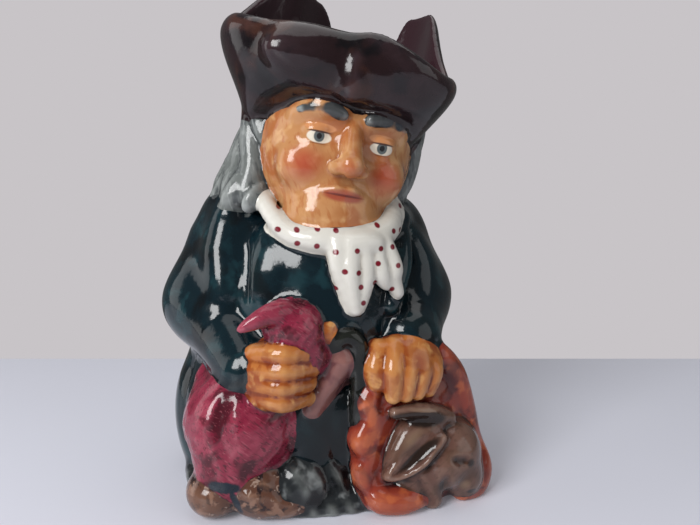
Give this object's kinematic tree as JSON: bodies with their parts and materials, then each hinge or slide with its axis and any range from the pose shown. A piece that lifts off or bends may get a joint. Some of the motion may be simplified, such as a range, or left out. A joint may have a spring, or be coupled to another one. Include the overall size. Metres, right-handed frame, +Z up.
{
  "type": "toby jug",
  "caption": "Slip-cast, glazed toby jug of a seated countryman in a three-cornered hat, holding a game bird and a sack with a hare.",
  "frame": {"origin": "centre of the bounding box on the underside, where the jug stands on the table", "axes": "+Z up through the hat, +X to the right of someone facing the figure, and the figure faces -Y"},
  "size_m": [0.1148, 0.1206, 0.1845],
  "materials": {
    "glazed_earthenware": "glossy hand-painted glaze"
  },
  "bodies": {
    "root": {"toby_jug": "glazed_earthenware"}
  },
  "joints": []
}
